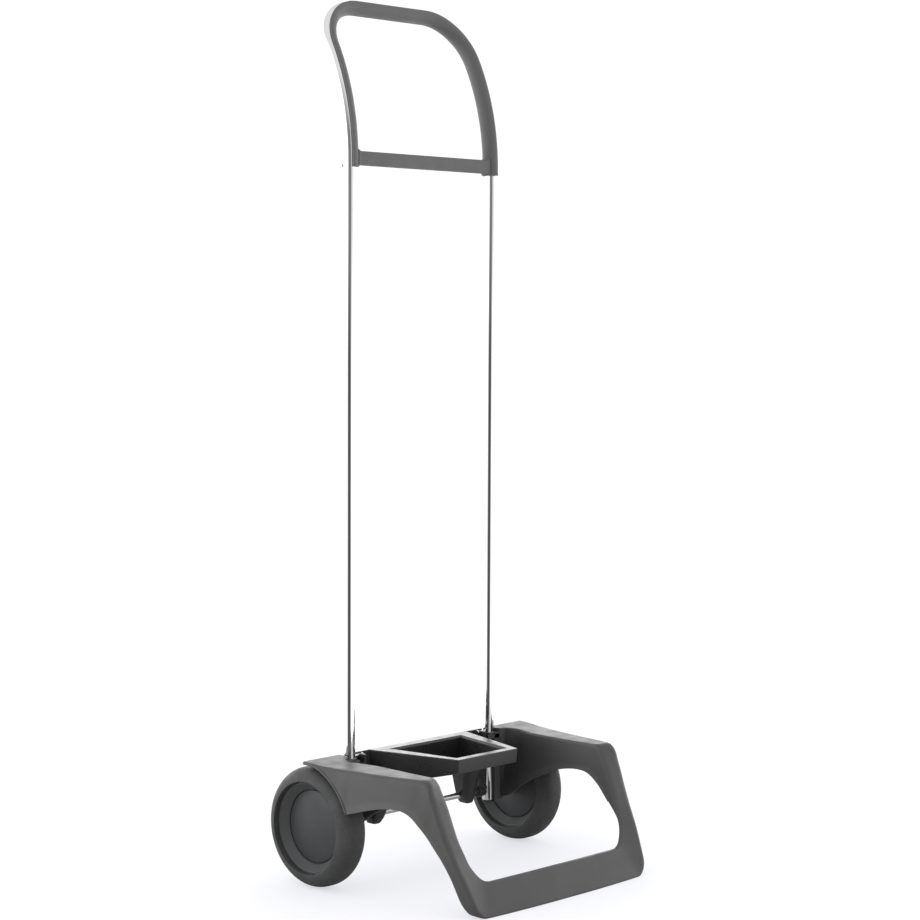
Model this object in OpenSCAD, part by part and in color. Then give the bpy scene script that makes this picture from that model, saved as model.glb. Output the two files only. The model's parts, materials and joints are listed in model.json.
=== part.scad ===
// Two-wheel shopping trolley frame: a chromed steel loop with a moulded hand grip, a moulded
// chassis with a foot ring, a bag shelf, and two free-running wheels on one through axle.
// X runs across the trolley, Y runs from the foot (negative) to the back, and Z is up.
// The origin lies on the floor, at the middle of the whole trolley's length and width.

/* [Overall] */
// Height of the top of the handle above the floor
overall_height = 1032; // [860:1:1240]
// Distance between the centre lines of the two uprights
tube_span = 235; // [196:1:282]
// How far the foot bar's front edge stands in front of the axle
foot_reach = 243; // [225:1:292]

/* [Tube] */
// Outer diameter of the bent steel tube
tube_d = 14; // [12:0.5:16.8]
// Wall thickness of the tube
tube_wall = 0.9; // [0.8:0.1:1.1]
// Length of tube that reaches down past the axle
tube_tail = 13; // [11:1:18]
// Centre-line radius of the handle's backward bend
bend_r = 287; // [240:1:340]
// Angle of the handle's backward bend
bend_angle = 27.5; // [22:0.5:33]
// Centre-line radius of the handle's two upper corners
corner_r = 60; // [50:1:72]

/* [Grip] */
// Thickness of the grip moulding around the tube
grip_wall = 3.2; // [2.7:0.1:3.8]
// How far the grip wraps round the tube to each side of its inner face
grip_wrap = 102; // [95:1:110]
// Height of the crossbar
crossbar_h = 16; // [13:0.5:19]
// Thickness of the crossbar from front to back
crossbar_t = 13; // [11:0.5:15.5]
// How far the crossbar's centre stands above the start of the bend
crossbar_rise = 3; // [0:1:5]
// How far the grip's legs run on below the crossbar
grip_tail = 2.5; // [2:0.5:4]

/* [Wheels] */
// Diameter of the tyre
wheel_d = 140; // [117:1:168]
// Width of the tyre
wheel_w = 40; // [34:1:48]
// Rounding radius of the tyre's shoulders
shoulder_r = 17; // [14:1:17]
// Height of the rubber from the rim seat to the tread
tyre_h = 16.5; // [14:0.5:19]
// Depth of the rim's outer ring behind the tyre's side
ring_depth = 6.5; // [5:0.5:8]
// Width of the sloping ring between the tyre and the disc
ring_w = 11; // [9:1:13]
// Depth of the disc's edge behind the tyre's side
disc_depth = 15.4; // [13:0.1:16.5]
// Height of the disc's crown above its edge
disc_crown = 3.9; // [3.5:0.1:4.6]
// Thickness of the two disc covers
disc_wall = 2; // [1.6:0.1:2.4]
// Outer radius of the hub
hub_r = 10; // [9:0.5:12]

/* [Axle] */
// Diameter of the axle
axle_d = 8; // [7:0.5:9.6]
// Wall thickness of the wheel bushes
bush_wall = 2; // [1.5:0.1:2.4]
// Length of each wheel bush
bush_l = 8; // [6:1:8]
// Wall thickness of the spacer between chassis and wheel
spacer_wall = 3; // [2:0.5:4]
// Length of axle that stands out past each push nut
axle_tip = 0.8; // [0.5:0.1:1]
// Thickness of the thrust washers
washer_t = 0.8; // [0.5:0.1:1]
// Thickness of the push nuts
nut_t = 1.5; // [1:0.1:1.6]

/* [Chassis] */
// Wall thickness of the chassis moulding
chassis_wall = 3; // [2.5:0.1:3.6]
// Width of moulding between each upright and the chassis's inner face
boss_wall = 9; // [7.5:0.5:10.8]
// Gap between the chassis's side wall and the wheel
wheel_gap = 11; // [9:1:14]
// Height of the chassis's top above the wheel
fender_lift = 7; // [6:0.5:10]
// Clearance between the wheel arch and the tyre
arch_gap = 5; // [3:0.5:5.5]
// How far the fender's side lies inside the tyre's outer side
fender_inset = 3.7; // [2:0.1:6]
// Distance from the axle to the chassis's rear edge
arm_back = 7; // [5:1:10]
// Width of the foot ring across its legs
leg_span = 318; // [300:1:330]
// Width of the foot bar where it meets the floor
foot_w = 272; // [255:1:290]
// Horizontal distance from the foot's front edge back to the legs' top
leg_run = 66; // [55:1:79]
// Height of the foot bar
foot_bar_h = 34; // [28:1:40]
// How far the foot bar bows forward at its middle
foot_bow = 8; // [6:1:10]

/* [Bag shelf] */
// Width of the shelf at its back edge
shelf_back_w = 166; // [140:1:175]
// Width of the shelf at its front edge
shelf_front_w = 100; // [85:1:120]
// Distance from the axle forward to the shelf's front face
shelf_reach = 114; // [96:1:136]
// Height of the shelf's front wall
shelf_skirt = 16.5; // [14:0.5:20]
// Depth of the shelf under its top at the back
shelf_back_h = 46; // [40:1:50]
// Width of the pocket's mouth at its back
pocket_back_w = 116; // [100:1:135]
// Width of the pocket's mouth at its front
pocket_front_w = 82; // [70:1:90]
// Width of the shelf's rim in front of the pocket
shelf_rim = 13; // [8:1:16]
// Thickness of the shelf's walls and of the pocket's floor
shelf_wall = 2.6; // [2:0.1:3.2]

/* [Hidden] */
$fn = 64;
BORE_CLEARANCE = 0.05;
SEAT_CLEARANCE = 0.1;
BODY_GAP = 0.3;
CUT = 1;
HAIRLINE = 0.02;

// Heights, from the floor up
axle_z = wheel_d / 2;
arm_top = wheel_d + fender_lift;
tube_foot = axle_z - tube_tail;
bend_z = overall_height - tube_d / 2 - bend_r * sin(bend_angle) - corner_r * cos(bend_angle);
crossbar_z = bend_z + crossbar_rise;
grip_foot = crossbar_z - crossbar_h / 2 - grip_tail;

// Half widths, from the middle out
tube_x = tube_span / 2;
tube_r = tube_d / 2;
wall_in = tube_x + tube_r + boss_wall;
wall_out = wall_in + chassis_wall;
wheel_in = wall_out + wheel_gap;
wheel_x = wheel_in + wheel_w / 2;
fender_x = wheel_in + wheel_w - fender_inset;
leg_x = leg_span / 2;

// Distances along Y, from the axle
grip_r = tube_r + grip_wall;
grip_back = grip_r * cos(90 + bend_angle - grip_wrap);
handle_back = bend_r * (1 - cos(bend_angle)) + corner_r * sin(bend_angle) + grip_back;
axle_y = (foot_reach - max(wheel_d / 2, handle_back)) / 2;
foot_y = -foot_reach;
leg_top_y = foot_y + leg_run;
core_l = 2;
core_inset = 0.3;

// Wheel sizes along its own axis, from its middle plane outwards
half_w = wheel_w / 2;
rim_r = wheel_d / 2 - tyre_h;
rim_t = half_w - ring_depth;
disc_r = rim_r - ring_w;
disc_t = half_w - disc_depth;
web_t = disc_t - disc_wall;
hub_out = web_t - 1;
hub_in = half_w - 3;
axle_r = axle_d / 2;
bush_r = axle_r + BORE_CLEARANCE + bush_wall;
washer_at = hub_out + BODY_GAP;
nut_at = washer_at + washer_t;
axle_end = wheel_x + nut_at + nut_t + axle_tip;

// Small features of the grip, the tube's end plugs and the tyre
crossbar_edge_r = 3;
plug_rim = 2;
plug_depth = 6;
bead_lip = 1.4;
bead_step = 0.6;
rim_shelf = 2;

// The chassis's side view: drops are measured down from its top
arch_corner_y = -66;
arch_corner_drop = 51;
web_drop = 37;
web_step = 6;
web_run = 40;
leg_back_y = -170;
leg_back_drop = 63;
knee_run = 15;
knee_drop = 46;
leg_depth = 22;
toe_h = 16;
toe_lean = 4;
wall_lean = 1.2;
flange_depth = 9;
rib_pitch = 30;
rib_t = 2;
rib_foot = 2;

// The chassis's inner wall
inner_toe_run = 15;
inner_toe_rise = 22;
inner_heel_run = 21;
inner_heel_drop = 9;
inner_web_run = 64;
bracket_drop = 13;
bracket_front_y = -28;
bracket_heel_y = -22;

// The chassis's plan and front views
fender_straight = 20;
fender_taper = 10;
fender_taper_run = 50;
ankle_inset = 6;
ankle_run = 24;
toe_inset = 14;
ring_corner_x = 110;
ring_knee_rise = 34;
ring_hip_rise = 30;

// The bracket's clasp round the upright
seat_drop = 7;
seat_plate = 5;
clasp_wall = 2;

// The bag shelf's lugs, screws and wings
shelf_back_y = 6;
pocket_back = -11;
screw_z = arm_top - 3.5;
screw_r = 2;
head_r = 3.2;
head_t = 2;
lug_w = 21;
lug_gap = 9;
lug_front = -11;
lug_chamfer = 14;
lug_top = arm_top - 20;
wing_end = tube_x - tube_r - clasp_wall - SEAT_CLEARANCE;
wing_wall_x = wing_end - 7;
wing_drop = 21;

// Shapes that several parts use ------------------------------------------------------------

function unit(v) = v / norm(v);

// The arc that rounds the corner b between its neighbours a and c
function fillet(a, b, c, r, steps = 6) =
    let (u = unit(a - b), v = unit(c - b), half = acos(u * v) / 2)
    let (centre = b + unit(u + v) * r / sin(half))
    let (p = b + u * r / tan(half) - centre, q = b + v * r / tan(half) - centre)
    let (start = atan2(p.y, p.x), end = atan2(q.y, q.x))
    let (sweep = (end - start + 540) % 360 - 180)
    [for (i = [0:steps]) centre + r * [cos(start + sweep * i / steps), sin(start + sweep * i / steps)]];

// An outline whose points are [x, y, corner radius]
function rounded(points) =
    [for (i = [0:len(points) - 1])
        let (n = len(points), a = points[(i + n - 1) % n], b = points[i], c = points[(i + 1) % n])
        each (b[2] > 0 ? fillet([a.x, a.y], [b.x, b.y], [c.x, c.y], b[2]) : [[b.x, b.y]])];

function arc(r, from, to, steps) =
    [for (i = [0:steps]) let (t = from + (to - from) * i / steps) r * [cos(t), sin(t)]];

// Everything is drawn with the axle over Y = 0, then moved to the trolley's own origin
module placed() {
    translate([0, axle_y, 0]) children();
}

module both_sides() {
    children();
    mirror([1, 0, 0]) children();
}

// A round part along X whose first end is at x and whose axis is the axle's
module along_axle(x, length, r) {
    translate([x, 0, axle_z]) rotate([0, 90, 0]) cylinder(h = length, r = r);
}

// A flat [y, z] outline pushed out along X from x0 to x1
module slab_x(x0, x1, points) {
    translate([x0, 0, 0]) rotate([90, 0, 90]) linear_extrude(height = x1 - x0) polygon(points);
}

// A flat [x, z] outline pushed out along Y from y0 to y1
module slab_y(y0, y1, points) {
    translate([0, y1, 0]) rotate([90, 0, 0]) linear_extrude(height = y1 - y0) polygon(points);
}

// Tube and grip --------------------------------------------------------------------------

// Runs a flat section round the whole loop: its x points at the loop's inside. The right half
// mirrors the left half, and a hairline parts each bend from the corner above it, so that
// loop_core() can bridge the two inside the section.
module loop(from_z) {
    both_sides() {
        translate([-tube_x, 0, from_z]) linear_extrude(height = bend_z - from_z) children();
        translate([-tube_x, bend_r, bend_z]) rotate([0, -90, 0]) rotate([0, 0, -90])
            rotate_extrude(angle = bend_angle, $fn = 180)
                translate([bend_r, 0]) rotate(-90) children();
        upper_end() {
            translate([corner_r, 0, HAIRLINE]) rotate([-90, 0, 0]) rotate([0, 0, 180])
                rotate_extrude(angle = 90, $fn = 96)
                    translate([corner_r, 0]) mirror([1, 0]) children();
            translate([corner_r, 0, corner_r + HAIRLINE]) rotate([0, 90, 0])
                linear_extrude(height = tube_x - corner_r) children();
        }
    }
}

module loop_core() {
    both_sides() upper_end() translate([0, 0, -core_l / 2]) linear_extrude(height = core_l) children();
}

// Where the left upright's bend ends, turned so that Z runs on up the tube
module upper_end() {
    translate([-tube_x, bend_r * (1 - cos(bend_angle)), bend_z + bend_r * sin(bend_angle)])
        rotate([-bend_angle, 0, 0]) children();
}

module tube_frame() {
    color("gainsboro") placed() {
        difference() {
            loop(tube_foot) circle(r = tube_r);
            loop(tube_foot - CUT) circle(r = tube_r - tube_wall);
            both_sides() {
                along_axle(tube_x - tube_d, 2 * tube_d, axle_r + BORE_CLEARANCE);
                translate([0, 0, screw_z]) along_screw(tube_x - tube_d, tube_d, screw_r + SEAT_CLEARANCE);
            }
        }
        loop_core() difference() {
            circle(r = tube_r - core_inset);
            circle(r = tube_r - tube_wall + core_inset);
        }
    }
}

module tube_end_plugs() {
    color("dimgray") placed() both_sides() translate([tube_x, 0, tube_foot]) {
        translate([0, 0, -plug_rim]) cylinder(h = plug_rim, r = tube_r);
        cylinder(h = plug_depth, r = tube_r - tube_wall);
    }
}

// The part of a ring round the tube that the grip wraps, open towards the loop's outside
module grip_section(inset = 0) {
    wrap = grip_wrap - 10 * inset;
    polygon(concat(arc(grip_r - inset, -wrap, wrap, 12),
                   arc(tube_r + BORE_CLEARANCE + inset, wrap, -wrap, 24)));
}

module handle_grip() {
    color("dimgray") placed() {
        loop(grip_foot) grip_section();
        loop_core() grip_section(core_inset);
        difference() {
            translate([0, 0, crossbar_z]) rotate([90, 0, 90])
                translate([0, 0, -tube_x]) linear_extrude(height = 2 * tube_x)
                    polygon(rounded([[-crossbar_t / 2, -crossbar_h / 2, crossbar_edge_r],
                                     [crossbar_t / 2, -crossbar_h / 2, crossbar_edge_r],
                                     [crossbar_t / 2, crossbar_h / 2, crossbar_edge_r],
                                     [-crossbar_t / 2, crossbar_h / 2, crossbar_edge_r]]));
            both_sides() translate([-tube_x, 0, crossbar_z - crossbar_h])
                cylinder(h = 2 * crossbar_h, r = tube_r + BORE_CLEARANCE);
        }
    }
}

// Chassis --------------------------------------------------------------------------------

// Side view of the arm, leg and foot, inset from the top and the front by the given wall
function side_view(inset = 0, low = 0) = rounded([
    [arm_back - inset, arm_top - inset, 0],
    [leg_top_y + inset, arm_top - inset, 7],
    [leg_top_y - knee_run + wall_lean * inset, arm_top - knee_drop, 60],
    [foot_y + toe_lean + wall_lean * inset, toe_h, 40],
    [foot_y + wall_lean * inset, -low, 0],
    [foot_y + leg_depth + low, -low, 0],
    [foot_y + leg_depth + toe_lean + low, toe_h, 20],
    [leg_back_y + low, arm_top - leg_back_drop - low, 40],
    [leg_back_y + web_run + low, arm_top - web_drop + web_step - low, 30],
    [arch_corner_y, arm_top - arch_corner_drop - low, 0],
    [arm_back - inset, arm_top - arch_corner_drop - low, 0]]);

// Side view of the inner wall: shallower on the leg, and deeper round the axle
inner_wall_view = rounded([
    [arm_back, arm_top, 0],
    [leg_top_y, arm_top, 7],
    [leg_top_y - knee_run, arm_top - knee_drop, 60],
    [foot_y + leg_depth + inner_toe_run, foot_bar_h + inner_toe_rise, 0],
    [leg_back_y - inner_heel_run, arm_top - leg_back_drop - inner_heel_drop, 30],
    [leg_back_y + web_step, arm_top - web_drop + web_step, 26],
    [leg_back_y + inner_web_run, arm_top - web_drop, 40],
    [bracket_front_y, axle_z, 8],
    [bracket_heel_y, axle_z - bracket_drop, 6],
    [arm_back, axle_z - bracket_drop, 0]]);

// Plan view of one side, from the middle to the outer edge
function plan_view(inset = 0) = rounded([
    [0, arm_back + CUT, 0],
    [fender_x - inset, arm_back + CUT, 0],
    [fender_x - inset, -fender_straight, 40],
    [fender_x - fender_taper - inset, arch_corner_y - fender_taper_run, 200],
    [leg_x - inset, leg_top_y, 60],
    [leg_x - ankle_inset - inset, foot_y + ankle_run, 30],
    [leg_x - toe_inset - inset, foot_y + foot_bow, 10],
    [leg_x / 2, foot_y + foot_bow / 4, 300],
    [0, foot_y, 0]]);

// Front view of one side of the foot ring and the arm above it
function front_view(inset = 0) = rounded([
    [0, 0, 0],
    [foot_w / 2 - inset, 0, 12],
    [leg_x - toe_inset - inset, toe_h, 30],
    [leg_x - inset, axle_z, 40],
    [leg_x - inset, arm_top - arch_corner_drop, 0],
    [fender_x + CUT, arm_top - arch_corner_drop, 0],
    [fender_x + CUT, arm_top, 0],
    [0, arm_top, 0]]);

// What the foot ring's opening takes out of one side, in front view
ring_opening = rounded([
    [-CUT, foot_bar_h, 0],
    [ring_corner_x, foot_bar_h, 22],
    [wall_in - chassis_wall, foot_bar_h + ring_knee_rise, 60],
    [wall_in, axle_z + ring_hip_rise, 0],
    [wall_in, arm_top + CUT, 0],
    [-CUT, arm_top + CUT, 0]]);

// Half of the moulding's outer form, solid
module half_form() {
    intersection() {
        slab_x(0, fender_x, side_view());
        linear_extrude(height = arm_top) polygon(plan_view());
        slab_y(foot_y, arm_back, front_view());
    }
}

// The space behind the moulding's skin, open below the arms and behind the leg and the bar
module half_hollow() {
    intersection() {
        slab_x(-CUT, fender_x, side_view(chassis_wall, CUT));
        translate([0, 0, chassis_wall]) linear_extrude(height = arm_top) polygon(plan_view(chassis_wall));
        slab_y(foot_y, arm_back - chassis_wall, front_view(chassis_wall));
    }
}

// The foot bar's top flange, which runs back from the front face
module bar_flange() {
    intersection() {
        half_form();
        translate([0, foot_y, foot_bar_h - chassis_wall])
            cube([ring_corner_x, leg_depth + flange_depth, chassis_wall]);
    }
}

// Upright ribs inside the foot bar, up to its flange
module bar_ribs() {
    for (x = [0 : rib_pitch : 3 * rib_pitch])
        intersection() {
            half_form();
            translate([x - rib_t / 2, foot_y, rib_foot]) cube([rib_t, leg_depth, foot_bar_h - chassis_wall]);
        }
}

// The wall that faces the middle: it narrows down the leg and ends above the foot bar
module inner_wall() {
    intersection() {
        slab_x(wall_in, wall_out, inner_wall_view);
        slab_y(foot_y, arm_back, front_view());
    }
}

// The tyre's outline with a clearance round it, which cuts the wheel arch
module arch_cut() {
    r = wheel_d / 2 + arch_gap;
    t = half_w - shoulder_r;
    inner_t = wall_out - wheel_x;
    translate([wheel_x, 0, axle_z]) rotate([0, 90, 0]) rotate_extrude($fn = 128)
        polygon(concat([[0, inner_t], [r, inner_t]],
                       [for (a = [0:15:75]) [r - shoulder_r + shoulder_r * cos(a), t + shoulder_r * sin(a)]],
                       [[r - shoulder_r + 2, wheel_w], [0, wheel_w]]));
}

// The bracket that carries the axle and clasps the upright
module bracket() {
    clasp_y = -tube_r - clasp_wall;
    clasp_depth = arm_back - clasp_y;
    clasp_z = axle_z - bracket_drop;
    slab_x(wall_in, wall_out, [[arm_back, arm_top - chassis_wall], [leg_back_y / 4, arm_top - chassis_wall],
                               [bracket_front_y, axle_z], [bracket_heel_y, clasp_z], [arm_back, clasp_z]]);
    translate([tube_x + chassis_wall, clasp_y, clasp_z])
        cube([wall_in - tube_x, clasp_depth, arm_top - chassis_wall - clasp_z]);
    translate([tube_x - tube_r - clasp_wall, clasp_y, arm_top - seat_drop - seat_plate])
        cube([wall_out - tube_x + tube_r, clasp_depth, seat_plate]);
}

module half_chassis() {
    difference() {
        union() {
            difference() {
                half_form();
                half_hollow();
                slab_y(foot_y - CUT, arm_back + CUT, ring_opening);
            }
            bar_flange();
            bar_ribs();
            inner_wall();
            bracket();
        }
        arch_cut();
        translate([tube_x, 0, 0]) cylinder(h = arm_top + CUT, r = tube_r + SEAT_CLEARANCE);
        along_axle(tube_x, wheel_gap + 2 * boss_wall, axle_r + BORE_CLEARANCE);
    }
}

module chassis() {
    color("dimgray") placed() both_sides() half_chassis();
}

// Bag shelf ------------------------------------------------------------------------------

// Plan outline of the shelf's trapezoid, narrower all round by the inset
function shelf_plan(inset = 0, back = shelf_back_y) =
    let (front = -shelf_reach + inset, b = shelf_back_w / 2 - inset * 1.04, f = shelf_front_w / 2 - inset)
    [[-b, back], [b, back], [f, front], [-f, front]];

pocket_mouth = let (front = -shelf_reach + shelf_rim, b = pocket_back_w / 2, f = pocket_front_w / 2)
    rounded([[-b, pocket_back, 3], [b, pocket_back, 3], [f, front, 3], [-f, front, 3]]);

// Side outline: the front wall is low and the underside falls towards the axle
function shelf_side(lift = 0, top = arm_top) = [
    [-shelf_reach, top], [shelf_back_y, top],
    [shelf_back_y, arm_top - shelf_back_h + lift], [pocket_back, arm_top - shelf_back_h + lift],
    [-shelf_reach, arm_top - shelf_skirt + lift]];

module shelf_tray() {
    difference() {
        intersection() {
            linear_extrude(height = arm_top) polygon(shelf_plan());
            slab_x(-shelf_back_w, shelf_back_w, shelf_side());
        }
        intersection() {
            linear_extrude(height = arm_top - shelf_wall) polygon(shelf_plan(shelf_wall, pocket_back));
            slab_x(-shelf_back_w, shelf_back_w, shelf_side(shelf_wall));
        }
        translate([0, 0, arm_top - 2 * shelf_wall])
            linear_extrude(height = 2 * shelf_wall + CUT) polygon(pocket_mouth);
        translate([-pocket_back_w / 2, pocket_back + shelf_wall, 0])
            cube([pocket_back_w, shelf_back_y - pocket_back - 2 * shelf_wall, arm_top - shelf_wall]);
    }
}

module shelf_lug() {
    inner_x = shelf_back_w / 2 - lug_w;
    low_z = tube_foot + clasp_wall;
    difference() {
        slab_y(lug_front, shelf_back_y, rounded([
            [inner_x, lug_top, 0],
            [inner_x, axle_z + clasp_wall, 2],
            [inner_x + lug_chamfer, low_z, 4],
            [wing_end, low_z, 6],
            [wing_end, lug_top, 0]]));
        translate([shelf_back_w / 2, lug_front - CUT, 0])
            cube([lug_gap, shelf_back_y - lug_front + 2 * CUT, axle_z + 2 * axle_d]);
    }
    translate([inner_x + lug_chamfer, shelf_back_y - shelf_wall, arm_top - wing_drop])
        cube([wing_end - inner_x - lug_chamfer, shelf_wall, wing_drop]);
    translate([wing_wall_x - shelf_wall, lug_front, arm_top - wing_drop])
        cube([shelf_wall, shelf_back_y - lug_front, wing_drop - CUT]);
}

module bag_shelf() {
    color("darkslategray") placed() difference() {
        union() {
            shelf_tray();
            both_sides() shelf_lug();
        }
        both_sides() {
            along_axle(0, tube_x, axle_r + BORE_CLEARANCE);
            translate([0, 0, screw_z])
                along_screw(wing_wall_x - 2 * shelf_wall, 4 * shelf_wall, screw_r + SEAT_CLEARANCE);
        }
    }
}

module along_screw(x, length, r) {
    translate([x, 0, 0]) rotate([0, 90, 0]) cylinder(h = length, r = r + BORE_CLEARANCE);
}

module shelf_screws() {
    head_x = wing_wall_x - shelf_wall - head_t;
    color("silver") placed() both_sides() translate([head_x, 0, screw_z]) rotate([0, 90, 0]) {
        cylinder(h = head_t, r = head_r);
        cylinder(h = tube_x - tube_r + tube_wall - head_x, r = screw_r);
    }
}

// Axle and what is threaded on it ---------------------------------------------------------

module axle() {
    color("silver") placed() along_axle(-axle_end, 2 * axle_end, axle_r);
}

// A ring on the axle, from x outwards
module axle_ring(x, length, wall) {
    difference() {
        along_axle(x, length, axle_r + BORE_CLEARANCE + wall);
        along_axle(x - CUT, length + 2 * CUT, axle_r + BORE_CLEARANCE);
    }
}

module wheel_spacers() {
    spacer_end = wheel_x - hub_in - BODY_GAP;
    color("silver") placed() both_sides() axle_ring(wall_out, spacer_end - wall_out, spacer_wall);
}

module thrust_washers() {
    color("silver") placed() both_sides() axle_ring(wheel_x + washer_at, washer_t, spacer_wall + 1);
}

module push_nuts() {
    color("silver") placed() both_sides() axle_ring(wheel_x + nut_at, nut_t, spacer_wall);
}

// Wheels: drawn round Z with Z pointing away from the trolley's middle ----------------------

module wheel_place(side) {
    placed() translate([side * wheel_x, 0, axle_z]) rotate([0, 90 * side, 0]) children();
}

function shoulder(side) =
    [for (i = [0:10]) let (a = 9 * (side > 0 ? i : 10 - i), r = wheel_d / 2 - shoulder_r)
        [r + shoulder_r * cos(a), side * (half_w - shoulder_r + shoulder_r * sin(a))]];

module tyre() {
    color("dimgray") rotate_extrude($fn = 128) polygon(concat(
        [[rim_r, -rim_t], [rim_r + bead_lip, bead_step - half_w]], shoulder(-1),
        shoulder(1), [[rim_r + bead_lip, half_w - bead_step], [rim_r, rim_t]]));
}

// One face of the rim: a ring slopes in from the tyre to the disc's seat
function rim_face(side) = [
    [rim_r, side * rim_t], [rim_r - rim_shelf, side * rim_t], [disc_r, side * disc_t],
    [disc_r, side * web_t]];

function reversed(list) = [for (i = [len(list) - 1:-1:0]) list[i]];

module rim() {
    color("slategray") rotate_extrude($fn = 128) polygon(concat(
        rim_face(1), [[hub_r, web_t], [hub_r, hub_out], [bush_r, hub_out], [bush_r, -hub_in]],
        [[hub_r, -hub_in], [hub_r, -web_t]], reversed(rim_face(-1))));
}

// A crowned cover; r0 is the radius of its centre hole, or 0
module disc(r0) {
    color("slategray") rotate_extrude($fn = 128) polygon(concat(
        [for (i = [0:8]) let (r = r0 + (disc_r - r0) * i / 8) [r, disc_t + crown(r)]],
        [for (i = [8:-1:0]) let (r = r0 + (disc_r - r0) * i / 8) [r, web_t + crown(r)]]));
}

function crown(r) = disc_crown * (1 - (r / disc_r) ^ 2);

module bush(t0, t1) {
    color("whitesmoke") translate([0, 0, t0]) difference() {
        cylinder(h = t1 - t0, r = bush_r);
        translate([0, 0, -CUT]) cylinder(h = t1 - t0 + 2 * CUT, r = axle_r + BORE_CLEARANCE);
    }
}

module outer_disc() {
    disc(0);
}

module inner_disc() {
    mirror([0, 0, 1]) disc(hub_r);
}

module outer_bush() {
    bush(hub_out - bush_l, hub_out);
}

module inner_bush() {
    bush(-hub_in, bush_l - hub_in);
}

tube_frame();
tube_end_plugs();
handle_grip();
chassis();
bag_shelf();
shelf_screws();
axle();
wheel_spacers();
thrust_washers();
push_nuts();
wheel_place(-1) tyre();  // left_tyre
wheel_place(-1) rim();  // left_rim
wheel_place(-1) outer_disc();  // left_outer_disc
wheel_place(-1) inner_disc();  // left_inner_disc
wheel_place(-1) outer_bush();  // left_outer_bush
wheel_place(-1) inner_bush();  // left_inner_bush
wheel_place(1) tyre();  // right_tyre
wheel_place(1) rim();  // right_rim
wheel_place(1) outer_disc();  // right_outer_disc
wheel_place(1) inner_disc();  // right_inner_disc
wheel_place(1) outer_bush();  // right_outer_bush
wheel_place(1) inner_bush();  // right_inner_bush
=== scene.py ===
"""Looks of a two-wheel shopping trolley frame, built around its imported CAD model.

Lengths in the tables below are millimetres measured from the axle's own Y, and MM and AXLE turn
them into the row frame's metres. The left half of anything symmetric is the mirror of the right.
"""
import json
import math

import bmesh
import bpy
from mathutils import Matrix, Vector


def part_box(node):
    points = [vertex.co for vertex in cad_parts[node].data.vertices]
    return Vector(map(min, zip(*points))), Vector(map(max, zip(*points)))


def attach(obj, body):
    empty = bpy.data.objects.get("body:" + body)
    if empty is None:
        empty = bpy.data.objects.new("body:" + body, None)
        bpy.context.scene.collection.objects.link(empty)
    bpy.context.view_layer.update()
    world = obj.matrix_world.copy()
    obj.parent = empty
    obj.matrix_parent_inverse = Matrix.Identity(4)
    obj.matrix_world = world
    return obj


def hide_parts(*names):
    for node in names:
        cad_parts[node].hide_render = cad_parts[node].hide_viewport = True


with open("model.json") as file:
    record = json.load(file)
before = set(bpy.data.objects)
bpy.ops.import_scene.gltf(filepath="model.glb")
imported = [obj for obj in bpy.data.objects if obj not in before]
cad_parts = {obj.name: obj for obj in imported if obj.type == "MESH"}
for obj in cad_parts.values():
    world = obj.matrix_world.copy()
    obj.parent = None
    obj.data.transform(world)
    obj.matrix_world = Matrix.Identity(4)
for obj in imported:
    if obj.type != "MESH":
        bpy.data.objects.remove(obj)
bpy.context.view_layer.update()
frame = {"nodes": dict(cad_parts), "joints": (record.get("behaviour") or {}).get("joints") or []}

MM = 0.001
JOINT_AT = {joint["child"]: Vector(joint["pos_m"]) for joint in frame["joints"]}
AXLE = JOINT_AT["right_wheel"]
WHEEL_X = AXLE.x / MM
AXLE_Y = AXLE.y / MM
AXLE_Z = AXLE.z / MM

# Tube loop
TUBE_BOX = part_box("tube_frame")
TUBE_R = 7.0
TUBE_X = TUBE_BOX[1].x / MM - TUBE_R
TUBE_FOOT = TUBE_BOX[0].z / MM
BEND_R = 287.0
BEND_ANGLE = math.radians(27.5)
CORNER_R = 60.0
BEND_RISE = BEND_R * math.sin(BEND_ANGLE) + CORNER_R * math.cos(BEND_ANGLE)
BEND_Z = TUBE_BOX[1].z / MM - TUBE_R - BEND_RISE


# Materials ----------------------------------------------------------------------------------

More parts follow.
